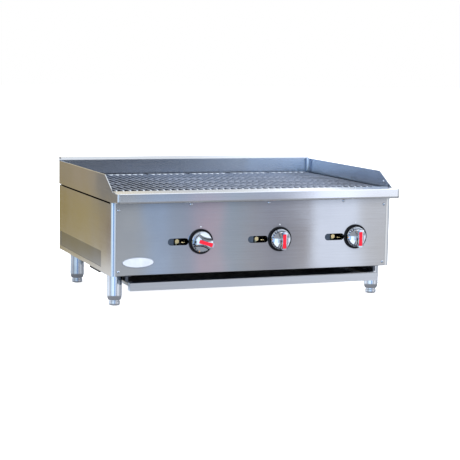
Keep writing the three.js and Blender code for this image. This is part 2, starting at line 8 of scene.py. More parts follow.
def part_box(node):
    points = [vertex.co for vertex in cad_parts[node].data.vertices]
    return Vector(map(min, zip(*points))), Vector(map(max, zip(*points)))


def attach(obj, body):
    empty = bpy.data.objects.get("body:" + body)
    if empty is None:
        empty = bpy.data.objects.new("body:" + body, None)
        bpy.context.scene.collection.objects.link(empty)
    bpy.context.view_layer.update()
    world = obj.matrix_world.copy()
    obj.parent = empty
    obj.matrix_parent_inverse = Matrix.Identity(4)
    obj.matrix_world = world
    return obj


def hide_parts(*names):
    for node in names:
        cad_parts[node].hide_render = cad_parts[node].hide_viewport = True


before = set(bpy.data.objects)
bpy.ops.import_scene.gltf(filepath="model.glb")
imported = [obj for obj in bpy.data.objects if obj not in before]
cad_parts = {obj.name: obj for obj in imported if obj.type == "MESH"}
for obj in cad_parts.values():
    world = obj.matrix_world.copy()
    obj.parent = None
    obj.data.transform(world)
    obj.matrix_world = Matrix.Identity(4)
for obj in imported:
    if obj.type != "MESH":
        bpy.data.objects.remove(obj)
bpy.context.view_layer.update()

MM = 0.001
PANEL_FACE_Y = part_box("front_panel")[0].y

# ---------------------------------------------------------------- places
# Lengths are in millimetres with Y = 0 on the front panel's face, as the CAD model is drawn.


def at(x, y, z):
    """That point in the row frame, in metres."""
    return Vector((x * MM, PANEL_FACE_Y + y * MM, z * MM))


def spans(name):
    """A CAD node's box as its X, Y and Z ranges."""
    low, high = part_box(name)
    return [((a - o) / MM, (b - o) / MM) for a, b, o in zip(low, high, at(0, 0, 0))]


NEAR = 1e-6  # a length below this counts as nothing
SHEET, THIN_SHEET = 1.5, 1.2
SIDE_X = spans("right_side_panel")[0][1]
BODY_BACK = spans("right_side_panel")[1][1]
BODY_BOTTOM = spans("front_panel")[2][0]
LOWER_TOP = 310  # of the side panels, where the splashes start
CORNER_STRIP, CORNER_DEPTH = 14, 5  # of the side panels' crowned front strip
SPLASH_Z = spans("right_side_splash")[2]
SLOPE_TOP_Y, SLOPE_FOOT_Y, SLOPE_RADIUS = 76, -9, 4  # of the side splashes' front edge
PLATE_FRONT_Y = -30  # where a splash's plate meets the rail's rounded end
RAIL_Y, RAIL_Z = spans("front_rail")[1], (316.5, 346.5)
RAIL_FOOT_Y = -1.7
RAIL_RADII = (7, 2.5)  # of its lower and upper front edges
RAIL_END, RAIL_END_RADIUS = 6.3, 3.5
RECESS = {"y": (112, 616), "z": (109, 158)}  # the shallow one in each side
BURNER_SIDES = {"left": -257.5, "middle": 0, "right": 257.5}
KNOB_OFFSET, SLOT_OFFSET = 79.5, 8  # from a burner's place to its knob and its lighting slot
VALVE_Z, SLOT_Z = 192.5, 193.3
SLOT_LENGTH, SLOT_HEIGHT = 66, 21
KNOB_TURNS = {"left": 72.5, "middle": 0, "right": 0}  # at rest, in degrees
INDEX_DOT_Z = 237

# ---------------------------------------------------------------- meshes


def rounded(points, steps=8):
    """Replaces each corner that has a radius, given as (u, v, radius), by an arc."""
    outline = []
    for i, (u, v, *radius) in enumerate(points):
        corner = Vector((u, v))
        if not radius:
            outline.append(corner)
            continue
        before = (Vector(points[i - 1][:2]) - corner).normalized()
        after = (Vector(points[(i + 1) % len(points)][:2]) - corner).normalized()
        half = before.angle(after) / 2
        centre = corner + (before + after).normalized() * radius[0] / math.sin(half)
        start = corner + before * radius[0] / math.tan(half) - centre
        end = corner + after * radius[0] / math.tan(half) - centre
        sweep = math.atan2(start.cross(end), start.dot(end))
        for k in range(steps + 1):
            outline.append(centre + Matrix.Rotation(sweep * k / steps, 2) @ start)
    return outline


def folded(path, thickness):
    """The outline of a bent sheet: the path is its outer face, and its thickness lies to the left."""
    points = [Vector(p) for p in path]
    normals = [Vector((a.y - b.y, b.x - a.x)).normalized() for a, b in zip(points, points[1:])]
    inner = []
    for i, point in enumerate(points):
        before, after = normals[max(i - 1, 0)], normals[min(i, len(normals) - 1)]
        mitre = (before + after).normalized()
        inner.append(point + mitre * thickness / mitre.dot(before))
    return points + inner[::-1]


def prism(outline, axis, low, high):
    """A prism along an axis; its outline is in the two other axes, in their order."""
    place = {
        "X": lambda u, v, w: (w, u, v),
        "Y": lambda u, v, w: (u, w, v),
        "Z": lambda u, v, w: (u, v, w),
    }[axis]
    count = len(outline)
    points = [place(u, v, w) for w in (low, high) for u, v in outline]
    faces = [list(range(count))[::-1], list(range(count, 2 * count))]
    faces += [[i, (i + 1) % count, (i + 1) % count + count, i + count] for i in range(count)]
    return points, faces


def rectangle(u, v, *radius):
    """A rectangle's corners for an outline, from its two ranges, with a radius if one is given."""
    return [(a, b, *radius) for a, b in ((u[0], v[0]), (u[1], v[0]), (u[1], v[1]), (u[0], v[1]))]


def block(x, y, z):
    return prism(rectangle(x, y), "Z", *z)


def turned(profile, centre, axis="Z", segments=48):
    """A lathe form: its profile is a list of (radius, height) along the axis from the centre."""
    place = {
        "X": lambda a, b, h: (h, a, b),
        "Y": lambda a, b, h: (a, -h, b),
        "Z": lambda a, b, h: (a, b, h),
    }[axis]
    points, rings = [], []
    for radius, height in profile:
        turns = 1 if radius < NEAR else segments
        ring = []
        for k in range(turns):
            angle = 2 * math.pi * k / segments
            offset = place(radius * math.cos(angle), radius * math.sin(angle), height)
            ring.append(len(points))
            points.append(tuple(c + o for c, o in zip(centre, offset)))
        rings.append(ring)
    faces = []
    for lower, upper in zip(rings, rings[1:]):
        for k in range(segments):
            quad = [lower[k % len(lower)], lower[(k + 1) % len(lower)],
                    upper[(k + 1) % len(upper)], upper[k % len(upper)]]
            face = list(dict.fromkeys(quad))
            if len(face) > 2:
                faces.append(face)
    for ring, turn in ((rings[0], -1), (rings[-1], 1)):
        if len(ring) > 1 and profile[0] != profile[-1]:
            faces.append(ring[::turn])
    return points, faces


def rod(radius, centre, axis, length, segments=24):
    return turned([(radius, 0), (radius, length)], centre, axis, segments)


WELD_DISTANCE = 1e-7  # in metres


def welded(mesh):
    """The mesh with its shared corners merged and its faces turned outwards."""
    bm = bmesh.new()
    bm.from_mesh(mesh)
    bmesh.ops.remove_doubles(bm, verts=bm.verts, dist=WELD_DISTANCE)
    bmesh.ops.recalc_face_normals(bm, faces=bm.faces)
    bm.to_mesh(mesh)
    bm.free()
    return mesh


def mesh_of(shape):
    """A shape's mesh; a shape is a mesh already, or points in millimetres with their faces."""
    if isinstance(shape, bpy.types.Mesh):
        return shape
    points, faces = shape
    mesh = bpy.data.meshes.new("shape")
    mesh.from_pydata([at(*p) for p in points], [], faces)
    return welded(mesh)


def placed(name, data):
    """A new object in the scene."""
    made = bpy.data.objects.new(name, data)
    bpy.context.collection.objects.link(made)
    return made


def combined(base, others, operation):
    """The mesh of one shape joined with, or cut by, the others."""
    host = placed("host", mesh_of(base))
    tools = [placed("tool", mesh_of(other)) for other in others]
    for tool in tools:
        step = host.modifiers.new("step", "BOOLEAN")
        step.operation, step.object, step.solver = operation, tool, "MANIFOLD"
    result = bpy.data.meshes.new_from_object(host.evaluated_get(bpy.context.evaluated_depsgraph_get()))
    for used in (host, *tools):
        bpy.data.objects.remove(used)
    return result


def union(*shapes):
    return combined(shapes[0], shapes[1:], "UNION")


def cut(shape, *tools):
    return combined(shape, tools, "DIFFERENCE")


def mirrored(mesh):
    """The mirror image across X = 0."""
    copy = mesh.copy()
    copy.transform(Matrix.Scale(-1, 4, (1, 0, 0)))
    copy.flip_normals()
    return copy


def turned_about(centre, degrees):
    """The matrix of a turn round a line along Y through that point, anticlockwise seen from the front."""
    pivot = at(*centre)
    turn = Matrix.Rotation(-math.radians(degrees), 4, "Y")
    return Matrix.Translation(pivot) @ turn @ Matrix.Translation(-pivot)


SOFT_EDGE_ANGLE = math.radians(32)  # edges sharper than this are softened


def piece(name, shape, material, replaces=(), body="cabinet", slot="stainless_steel", edge=0.4, segments=2):
    """Makes a shape into a named piece with softened edges, riding on its body."""
    mesh = mesh_of(shape)
    mesh.name = name
    mesh.materials.clear()
    mesh.materials.append(material)
    mesh.shade_smooth()
    made = placed(name, mesh)
    if edge:
        bevel = made.modifiers.new("edges", "BEVEL")
        bevel.width, bevel.segments = edge * MM, segments
        bevel.limit_method, bevel.angle_limit = "ANGLE", SOFT_EDGE_ANGLE
        bevel.miter_outer = "MITER_ARC"
    made.modifiers.new("normals", "WEIGHTED_NORMAL")
    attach(made, body)
    if replaces:
        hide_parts(*replaces)


# ---------------------------------------------------------------- node trees


def node(tree, kind, inputs=None, **settings):
    """Adds a node; an input is a value or another node's output."""
    made = tree.nodes.new(kind)
    for key, value in settings.items():
        setattr(made, key, value)
    for key, value in (inputs or {}).items():
        if isinstance(value, bpy.types.NodeSocket):
            tree.links.new(value, made.inputs[key])
        else:
            made.inputs[key].default_value = value
    return made


def math_node(tree, operation, a, b=0.0, c=0.0):
    return node(tree, "ShaderNodeMath", {0: a, 1: b, 2: c}, operation=operation).outputs[0]


def ramp(tree, factor, stops):
    """A colour ramp; each stop is a place and a colour."""
    made = node(tree, "ShaderNodeValToRGB", {"Fac": factor})
    elements = made.color_ramp.elements
    while len(elements) < len(stops):
        elements.new(0.5)
    for element, (place, colour) in zip(elements, stops):
        element.position = place
        element.color = (*colour, 1)
    return made.outputs["Color"]


MIX_COLOUR_INPUTS, MIX_COLOUR_OUTPUT = (6, 7), 2  # a Mix node's colour sockets share their names


def blend(tree, factor, a, b):
    """A mix of two colours, from a at 0 to b at 1."""
    made = node(tree, "ShaderNodeMix", {"Factor": factor}, data_type="RGBA")
    for place, value in zip(MIX_COLOUR_INPUTS, (a, b)):
        if isinstance(value, bpy.types.NodeSocket):
            tree.links.new(value, made.inputs[place])
        else:
            made.inputs[place].default_value = (*value, 1)
    return made.outputs[MIX_COLOUR_OUTPUT]


def between(tree, value, low, high, to_low=0.0, to_high=1.0):
    """A smooth step from one value to another."""
    inputs = {"Value": value, "From Min": low, "From Max": high, "To Min": to_low, "To Max": to_high}
    return node(tree, "ShaderNodeMapRange", inputs, interpolation_type="SMOOTHSTEP").outputs[0]


def plateau(tree, value, rise, fall):
    """1 between two smooth steps, up over the first range and down over the second, and 0 outside."""
    return math_node(tree, "MINIMUM", between(tree, value, *rise), between(tree, value, *fall, 1, 0))


def weighted(tree, a, b, share):
    """That share of a, and the rest of b."""
    return math_node(tree, "MULTIPLY_ADD", a, share, math_node(tree, "MULTIPLY", b, 1 - share))


def linked(tree, shader, **inputs):
    """Feeds outputs to the shader's sockets; a socket's name is written with underscores."""
    for socket, output in inputs.items():
        tree.links.new(output, shader.inputs[socket.replace("_", " ")])


def new_material(name):
    material = bpy.data.materials.new(name)
    material.use_nodes = True
    tree = material.node_tree
    tree.nodes.clear()
    shader = node(tree, "ShaderNodeBsdfPrincipled")
    node(tree, "ShaderNodeOutputMaterial", {"Surface": shader.outputs[0]})
    return material, tree, shader


def object_place(tree):
    return node(tree, "ShaderNodeTexCoord").outputs["Object"]


def stretched(tree, axis, along, across):
    """Object coordinates scaled differently along one axis, for a grain."""
    scale = [along if letter == axis else across for letter in "XYZ"]
    return node(tree, "ShaderNodeMapping", {"Vector": object_place(tree), "Scale": scale}).outputs[0]


def x_of(tree, vector):
    return node(tree, "ShaderNodeSeparateXYZ", {0: vector}).outputs["X"]


def openness(tree, reach):
    """1 on an open surface, and less where others come within that reach in metres."""
    return node(tree, "ShaderNodeAmbientOcclusion", {"Distance": reach}, samples=8).outputs["AO"]


def noise(tree, vector, scale, detail=2.0, roughness=0.5):
    inputs = {"Vector": vector, "Scale": scale, "Detail": detail, "Roughness": roughness}
    return node(tree, "ShaderNodeTexNoise", inputs).outputs["Fac"]


def bumped(tree, shader, layers):
    """Chains bump layers, each a height, its depth in metres and its strength."""
    normal = None
    for height, depth, strength in layers:
        inputs = {"Height": height, "Distance": depth, "Strength": strength}
        if normal:
            inputs["Normal"] = normal
        normal = node(tree, "ShaderNodeBump", inputs).outputs[0]
    tree.links.new(normal, shader.inputs["Normal"])


LOW, HIGH = 0.3, 0.7  # most of a noise texture lies between these
STEEL_ANISOTROPY = 0.96
# The tint of the painted shade where a brushed sheet is tucked into a corner or under an overhang
SHADE_TINT = (1, 1.05, 1.12)
RIGHT_HIGHLIGHT_X = (-0.1, 0.35)  # the painted highlight towards the right end comes in between these, in metres


def brushed_steel(name, grain, tone=0.6, rough=0.07, wave=0.32, shade_tone=0.42, tint=(1, 1, 1),
                  right_highlight_tone=None):
    """Stainless sheet, brushed along one axis, with painted shade darkening it where it is tucked into a
    corner.

    Given a grey level for its right end, it is painted lighter towards that end: a painted highlight.
    """
    material, tree, shader = new_material(name)
    place = object_place(tree)
    fine = noise(tree, stretched(tree, grain, 14, 1500), 1.0, 3)
    broad = noise(tree, stretched(tree, grain, 5, 320), 1.0, 2)
    smudge = noise(tree, place, 7.0, 4, 0.6)
    streaks = weighted(tree, fine, broad, 0.6)
    dark, light = (tuple(tone * c * share for c in tint) for share in (0.95, 1.05))
    colour = ramp(tree, streaks, [(LOW, dark), (HIGH, light)])
    # Painted highlight: lighter towards the right end.
    if right_highlight_tone:
        colour = blend(tree, between(tree, x_of(tree, place), *RIGHT_HIGHLIGHT_X), colour, (right_highlight_tone,) * 3)
    # Painted shade: a darker, bluer copy of the colour, blended in where other surfaces come close, as under
    # the rail's overhang.
    painted_shade = tuple(tone * shade_tone * c for c in SHADE_TINT)
    gloss = between(tree, weighted(tree, smudge, streaks, 0.6), LOW, HIGH, rough - 0.02, rough + 0.03)
    tangent = node(tree, "ShaderNodeTangent", direction_type="RADIAL", axis=grain).outputs[0]
    whole = blend(tree, between(tree, openness(tree, 0.045), 0.25, 0.95), painted_shade, colour)
    linked(tree, shader, Base_Color=whole, Roughness=gloss, Tangent=tangent)
    shader.inputs["Metallic"].default_value = 1
    shader.inputs["Anisotropic"].default_value = STEEL_ANISOTROPY
    bumped(tree, shader, [
        (noise(tree, place, 2.6, 2, 0.45), 0.003, wave),
        (streaks, 0.00001, 0.5),
    ])
    return material


def plain_metal(name, dark, light, rough, grain_scale=260, bump_depth=0.00008, spread=0.08, metallic=1.0,
                crease_shade=None):
    """Metal with a mottled tone and a fine rough surface, and, if given, a darker colour in its creases as
    painted shade.
    """
    material, tree, shader = new_material(name)
    place = object_place(tree)
    patches = noise(tree, place, 22, 4, 0.6)
    fine = noise(tree, place, grain_scale, 3, 0.6)
    colour = ramp(tree, patches, [(LOW, dark), (HIGH, light)])
    # Painted shade: the darker colour in the creases, where other surfaces come close.
    if crease_shade:
        colour = blend(tree, between(tree, openness(tree, 0.008), 0.55, 0.9), crease_shade, colour)
    linked(tree, shader, Base_Color=colour,
           Roughness=between(tree, fine, LOW, HIGH, rough - spread, rough + spread))
    shader.inputs["Metallic"].default_value = metallic
    bumped(tree, shader, [(fine, bump_depth, 0.6)])
    return material


SHEEN_X = (-0.28, -0.12), (0.28, 0.38)  # where the painted reflection over the middle grates comes in and goes out, in metres
WORN_EDGE = (0.5, 0.56)  # the range of pointiness over which an edge gets bright


def cast_iron(name, dark, light, rough, metallic, middle_sheen=1.0):
    """Cast iron: a pebbled skin, worn bright on the edges, and painted lighter over the middle grates as a
    painted reflection of the bright backdrop.
    """
    material, tree, shader = new_material(name)
    place = object_place(tree)
    pebbles = noise(tree, place, 420, 4, 0.65)
    patches = noise(tree, place, 16, 5, 0.6)
    worn = between(tree, node(tree, "ShaderNodeNewGeometry").outputs["Pointiness"], *WORN_EDGE)
    tone = ramp(tree, patches, [(LOW, dark), (HIGH, light)])
    # Painted reflection: lighter over the middle grates.
    middle = plateau(tree, x_of(tree, place), *SHEEN_X)
    lighter = blend(tree, middle, tone, tuple(c * middle_sheen for c in light))
    linked(tree, shader, Base_Color=blend(tree, worn, lighter, tuple(c * 1.5 for c in light)),
           Roughness=between(tree, pebbles, LOW, HIGH, rough - 0.1, rough + 0.12))
    shader.inputs["Metallic"].default_value = metallic
    bumped(tree, shader, [(pebbles, 0.0004, 0.5)])
    return material


def coated(name, dark, light, rough, coat=0.0, gloss=0.5, scale=300, depth=0.00004):
    """Plastic, enamel, paint, or the tray's near-black painted shade, with an orange-peel skin."""
    material, tree, shader = new_material(name)
    place = object_place(tree)
    skin = noise(tree, place, scale, 3, 0.5)
    linked(tree, shader, Base_Color=ramp(tree, noise(tree, place, 40, 3), [(0.35, dark), (0.65, light)]),
           Roughness=between(tree, skin, LOW, HIGH, rough - 0.04, rough + 0.06))
    shader.inputs["Specular IOR Level"].default_value = gloss
    shader.inputs["Coat Weight"].default_value = coat
    shader.inputs["Coat Roughness"].default_value = 0.08
    bumped(tree, shader, [(skin, depth, 0.4)])
    return material


STEEL_X = brushed_steel("brushed_steel_x", "X")
STEEL_Y = brushed_steel("brushed_steel_y", "Y")
SPLASH_STEEL = brushed_steel("splash_steel", "X", tone=0.64, rough=0.15, shade_tone=1, right_highlight_tone=0.92)
# A darker, bluer copy of the splash steel for the inward faces: painted shade with a painted bluish
# reflection.
SHADED_SPLASH_STEEL = brushed_steel(
    "splash_steel_painted_shade", "Y", tone=0.5, rough=0.17, shade_tone=1, tint=(0.84, 0.96, 1.2))
RAIL_STEEL = brushed_steel("rail_steel", "X", tone=0.8, rough=0.11, wave=0.2, right_highlight_tone=0.97)
RECESS_STEEL = brushed_steel("recess_steel", "Y", tone=0.3, shade_tone=0.9, tint=(0.87, 0.93, 1.05))
# Pale blue base colour: a painted highlight, the bright bluish line that runs up each rear corner.
WELD_HIGHLIGHT_STEEL = plain_metal("weld_painted_highlight", (0.68, 0.8, 0.98), (0.8, 0.9, 1.0), 0.4)
LIP_STEEL = brushed_steel("lip_steel", "X", tone=0.78, rough=0.32)
LINER_STEEL = brushed_steel("liner_steel", "Y", tone=0.56, rough=0.12, shade_tone=0.8)
POLISHED = plain_metal(
    "polished_steel", (0.6, 0.61, 0.63), (0.72, 0.73, 0.75), 0.1, spread=0.03, bump_depth=0.00002)
# The chrome's creases are painted dark and bluish: painted shade.
CHROME = plain_metal("chrome", (0.76, 0.8, 0.85), (0.86, 0.89, 0.93), 0.07, spread=0.02, bump_depth=0.00001,
                     crease_shade=(0.05, 0.07, 0.12))
# Near-black for the parts inside the body: painted shade.
SHADED_INNER = plain_metal("inner_steel_painted_shade", (0.09, 0.095, 0.11), (0.17, 0.175, 0.19), 0.42)
# A darker copy of the polished steel for the rear legs and feet: painted shade from the body over them.
SHADED_STEEL = plain_metal("shaded_steel", (0.38, 0.39, 0.41), (0.48, 0.49, 0.51), 0.16, spread=0.04)
BLUED = plain_metal("blued_steel", (0.07, 0.09, 0.12), (0.13, 0.16, 0.2), 0.35)
IRON = cast_iron("cast_iron", (0.07, 0.08, 0.1), (0.18, 0.2, 0.25), 0.3, 0.9, middle_sheen=1.35)
# A pale copy of the iron for the grates' forward and upward faces at the nose and rear bar: a painted
# highlight.
HIGHLIGHT_IRON = plain_metal("iron_painted_highlight", (0.5, 0.54, 0.6), (0.75, 0.78, 0.82), 0.25, grain_scale=500)
RADIANT_IRON = cast_iron("radiant_iron", (0.05, 0.05, 0.055), (0.1, 0.1, 0.105), 0.6, 0.4)
BRASS = plain_metal("brass", (0.78, 0.6, 0.28), (0.95, 0.8, 0.45), 0.2)
BLACK_PIPE = plain_metal("black_pipe", (0.03, 0.03, 0.035), (0.06, 0.06, 0.065), 0.4, metallic=0.3)
BLACK = coated("black_plastic", (0.004, 0.004, 0.006), (0.009, 0.009, 0.012), 0.3, gloss=0.15)
# Near-black for the inside of the drip tray: painted shade.
TRAY_SHADE = coated(
    "tray_inside_painted_shade", (0.006, 0.008, 0.016), (0.013, 0.016, 0.03), 0.45, gloss=0.16, scale=160, depth=0.0003)
RED = coated("red_paint", (0.7, 0.004, 0.02), (0.8, 0.007, 0.03), 0.4, gloss=0.25)
ORANGE = coated("orange_paint", (0.8, 0.3, 0.03), (0.9, 0.36, 0.05), 0.35)
ENAMEL = coated("pale_enamel", (0.56, 0.59, 0.64), (0.64, 0.67, 0.71), 0.2, coat=0.3)
WHITE = coated("white_enamel", (0.75, 0.77, 0.8), (0.85, 0.87, 0.9), 0.2, coat=0.4)

# ---------------------------------------------------------------- outer sheets


def front_panel():
    """The panel with its edges bent in, and a lighting slot and a stem's hole for each burner."""
    (x0, x1), (y0, y1), (z0, z1) = spans("front_panel")
    sheet = prism(folded(rounded([(y1, z1), (y0, z1, 2.5), (y0, z0, 2.5), (y1, z0)]), SHEET), "X", x0, x1)
    reach, rise = SLOT_LENGTH / 2, SLOT_HEIGHT / 2
    heights = (SLOT_Z - rise, SLOT_Z + rise)
    tools = []
    for x in BURNER_SIDES.values():
        centre = x + SLOT_OFFSET
        slot = rounded(rectangle((centre - reach, centre + reach), heights, rise - 0.01))
        tools.append(prism(slot, "Y", -3, 4))
        tools.append(rod(7, (x + KNOB_OFFSET, 4, VALVE_Z), "Y", 8))
    return cut(sheet, *tools)


def left_side_panel():
    """The side, wrapped round the front corner in a crowned strip and bent in at the rear."""
    inner, steps = -SIDE_X + CORNER_STRIP, 16
    turns = [math.pi / 2 * k / steps for k in range(steps + 1)]
    crown = [(inner - CORNER_STRIP * math.sin(t), CORNER_DEPTH * (1 - math.cos(t))) for t in turns]
    rear = rounded([(-SIDE_X, CORNER_STRIP), (-SIDE_X, BODY_BACK, 3), (inner, BODY_BACK)])
    skin = folded((crown + rear)[::-1], SHEET)
    corner = folded((crown + [(-SIDE_X, CORNER_STRIP)])[::-1], SHEET)
    whole = union(prism(skin, "Z", BODY_BOTTOM, LOWER_TOP),
                  prism(corner, "Z", LOWER_TOP - 1, spans("left_side_panel")[2][1]))
    window = rounded(rectangle(RECESS["y"], RECESS["z"], 2), 4)
    return cut(whole, prism(window, "X", -SIDE_X - 1, -SIDE_X + 3))


def left_side_splash():
    """The splash and the rail's end are one plate, with a hem along the splash's top."""
    bottom, top = SPLASH_Z
    front, rail_bottom, rail_top = RAIL_Y[0], *RAIL_Z
    under_rail = bottom + 1.5
    outline = rounded([
        (PLATE_FRONT_Y, under_rail), (RAIL_FOOT_Y, under_rail), (RAIL_FOOT_Y, bottom),
        (BODY_BACK, bottom), (BODY_BACK, top), (SLOPE_TOP_Y, top, SLOPE_RADIUS),
        (SLOPE_FOOT_Y, rail_top), (PLATE_FRONT_Y, rail_top)])
    plate = prism(outline, "X", -SIDE_X, -SIDE_X + SHEET)
    end_outline = rounded([(PLATE_FRONT_Y + 1, rail_bottom), (PLATE_FRONT_Y + 1, rail_top),
                           (front, rail_top, RAIL_RADII[1]), (front, rail_bottom, RAIL_RADII[0])])
    end = mesh_of(prism(end_outline, "X", -SIDE_X, -SIDE_X + RAIL_END))
    soften_rim(end, -SIDE_X, RAIL_END_RADIUS)
    slope = (top - rail_top) / (SLOPE_TOP_Y - SLOPE_FOOT_Y)
    hem_width, hem_end = 8, 9  # its end is that far above the rail
    hem_path = rounded([(BODY_BACK, top), (SLOPE_TOP_Y, top, SLOPE_RADIUS),
                        (SLOPE_FOOT_Y + hem_end / slope, rail_top + hem_end)])
    hem = prism(folded(hem_path, hem_width), "X", -SIDE_X + SHEET / 2, -SIDE_X + 2 * SHEET)
    outer, back = -SIDE_X + 0.2, BODY_BACK - 0.1
    return_path = rounded([(-SIDE_X + 16, back), (outer, back, 4), (outer, BODY_BACK - 10)])
    rear_return = prism(folded(return_path, SHEET), "Z", rail_top - 20, top - 0.5)
    return union(plate, hem, rear_return, end)


def soften_rim(mesh, x, radius):
    """Rounds the rim of a mesh's flat face at that x, except where it meets the plate behind it."""
    bm = bmesh.new()
    bm.from_mesh(mesh)
    plate_y = at(0, PLATE_FRONT_Y + 0.5, 0).y
    rim = [e for e in bm.edges if all(abs(v.co.x - x * MM) < NEAR for v in e.verts)
           and any(v.co.y < plate_y for v in e.verts)]
    bmesh.ops.bevel(bm, geom=rim, offset=radius * MM, segments=5, profile=0.5, affect="EDGES")
    bm.to_mesh(mesh)
    bm.free()


def rear_splash():
    """The splash with its rolled flange, notched where the side splashes pass it."""
    (x0, x1), (y0, y1), (z0, z1) = spans("rear_splash")
    lip_z, notch = 390, 7
    path = rounded([(y0, z0), (y0, z1, 10), (y1, z1, 3), (y1, lip_z)])[::-1]
    sheet = prism(folded(path, SHEET), "X", x0, x1)
    notches = [block((x - notch, x + notch), (BODY_BACK + 2, y1 + 1), (z0, z1 + 1)) for x in (x0, x1)]
    return cut(sheet, *notches)


def front_rail():
    """The rail between its two ends, bent down at its back in front of the grates."""
    (y0, y1), (z0, z1) = RAIL_Y, RAIL_Z
    path = rounded([(RAIL_FOOT_Y, z0), (y0, z0, RAIL_RADII[0]), (y0, z1, RAIL_RADII[1]), (y1, z1, 2),
                    (y1, z1 - 25)])[::-1]
    half = SIDE_X - RAIL_END - 0.2
    return prism(folded(path, SHEET), "X", -half, half)


def side_pair(name, mesh, material, **options):
    """Makes the left sheet and its mirror image; returns their meshes."""
    pair = {"left": mesh, "right": mirrored(mesh)}
    for side, shape in pair.items():
        piece(f"{side}_{name}_sheet", shape, material, [f"{side}_{name}"], **options)
    return pair.values()


def shade_inside(mesh):
    """Gives the faces over the body that look inwards or forwards the darker, bluer copy of the splash
    steel: painted shade with a painted bluish reflection.
    """
    mesh.materials.append(SHADED_SPLASH_STEEL)
    for face in mesh.polygons:
        inwards = face.normal.x * face.center.x < -1e-3 or face.normal.y < -0.5
        face.material_index = int(inwards and face.center.y > PANEL_FACE_Y)


side_pair("side_panel", left_side_panel(), STEEL_Y, edge=0.5)
for splash in side_pair("side_splash", left_side_splash(), STEEL_Y, edge=0.7, segments=3):
    shade_inside(splash)
piece("rear_splash_sheet", rear_splash(), SPLASH_STEEL, ["rear_splash"])
piece("front_panel_sheet", front_panel(), STEEL_X, ["front_panel"])
piece("front_rail_sheet", front_rail(), RAIL_STEEL, ["front_rail"])

# ---------------------------------------------------------------- legs and feet

LEG_TAPER = [(4.5, 0), (2.6, 2), (0.6, 9), (0, 16)]  # each is how far in it lies, and how high up
FOOT_PROFILE = [(0, 0), (14, 0), (16.2, 1.2), (17, 3.4), (17, 11), (15.6, 12.2), (15.6, 16), (0, 16)]


def legs():
    # The rear legs and feet take the darker steel: painted shade from the body over them.
    for row, material in (("front", POLISHED), ("rear", SHADED_STEEL)):
        for side in ("left", "right"):
            place = f"{row}_{side}"
            (x0, x1), (y0, y1), (z0, z1) = spans(f"{place}_leg")
            centre, radius = ((x0 + x1) / 2, (y0 + y1) / 2, 0), (x1 - x0) / 2
            taper = [(radius - inset, z0 + rise) for inset, rise in LEG_TAPER]
            leg = turned([(0, z0), *taper, (radius, z1), (0, z1)], centre)
            piece(f"{place}_leg_tube", leg, material, [f"{place}_leg"], slot="polished_steel", edge=0.6)
            foot = turned(FOOT_PROFILE, centre)
            piece(f"{place}_foot_pad", foot, material, [f"{place}_foot"], f"{place}_foot",
                  slot="polished_steel", edge=0.3)


legs()

# ---------------------------------------------------------------- knobs and bezels

KNOB_SEGMENTS = 72
SKIRT_DEPTH = 8.5
MARK_RADII, MARK_HALF_WIDTH = (27.6, 31.2), 0.9
MARK_ANGLES = range(120, 241, 15)
ORANGE_MARK = 4  # the middle one
DOT_PROFILE = [(0, 0), (2, 0), (2, 0.4), (1.6, 0.7), (0, 0.8)]
BEZEL_PROFILE = [(10, 0.3), (37.2, 0.3), (38, 1), (38, 4.2), (36.6, 5.8), (34.2, 6), (33.4, 5.2), (12, 5.2),
                 (10, 5.2), (10, 0.3)]


def ellipsoid(centre, radii):
    """An ellipsoid's mesh; its centre and radii are in metres."""
    ball = bmesh.new()
    bmesh.ops.create_uvsphere(ball, u_segments=48, v_segments=32, radius=1)
    mesh = bpy.data.meshes.new("ellipsoid")
    ball.to_mesh(mesh)
    ball.free()
    mesh.transform(Matrix.Translation(centre) @ Matrix.Diagonal((*radii, 1)))
    return mesh


def knob_grip(x, back, front):
    """A flat skirt and a domed hub, scooped away on both sides of its ridge, which ends in a pointer."""
    centre, skirt_front = (x, 0, VALVE_Z), back + SKIRT_DEPTH
    skirt = turned([(0, back), (31.2, back), (32, back + 1), (32, back + 4.5), (30.2, skirt_front - 0.6),
                    (28.5, skirt_front), (0, skirt_front)], centre, "Y", KNOB_SEGMENTS)
    hub = turned([(0, back + 2), (28, back + 2), (27, front - 3.6), (25.4, front - 2), (19, front - 0.9),
                  (11, front - 0.25), (0, front)], centre, "Y", KNOB_SEGMENTS)
    ridge_half_width, scoop_radius, scoop_rise = 6, 26, 36
    radii = (scoop_radius * MM, (front - skirt_front + 1) * MM, scoop_rise * MM)
    scoops = [ellipsoid(at(x + hand * (ridge_half_width + scoop_radius), -front - 1, VALVE_Z), radii)
              for hand in (-1, 1)]
    left, right, tip = x - 6.4, x + 6.4, VALVE_Z - 29.5
    outline = rounded([(left, tip, 2), (right, tip, 2), (right, VALVE_Z), (left, VALVE_Z)])
    pointer = prism(outline, "Y", -front + 0.6, -back - 4)
    return union(skirt, cut(hub, *scoops), pointer)


def red_strip(x, front):
    """The painted strip along the ridge, a little narrower at its waist."""
    low, middle, high = VALVE_Z - 24.5, VALVE_Z - 3, VALVE_Z + 18.5
    half, waist = 5.6, 5.1
    outline = [(x - half, low, 1), (x + half, low, 1), (x + waist, middle), (x + half, high, 1),
               (x - half, high, 1), (x - waist, middle)]
    return mesh_of(prism(rounded(outline, 3), "Y", -front - 0.4, -front + 2.4))


def knob_mark(centre, angle, depths):
    """A small radial mark on the skirt, at an angle round the knob's axis."""
    (x, _, z), half = centre, MARK_HALF_WIDTH
    mesh = mesh_of(block([x + radius for radius in MARK_RADII], depths, (z - half, z + half)))
    mesh.transform(turned_about(centre, angle))
    return mesh


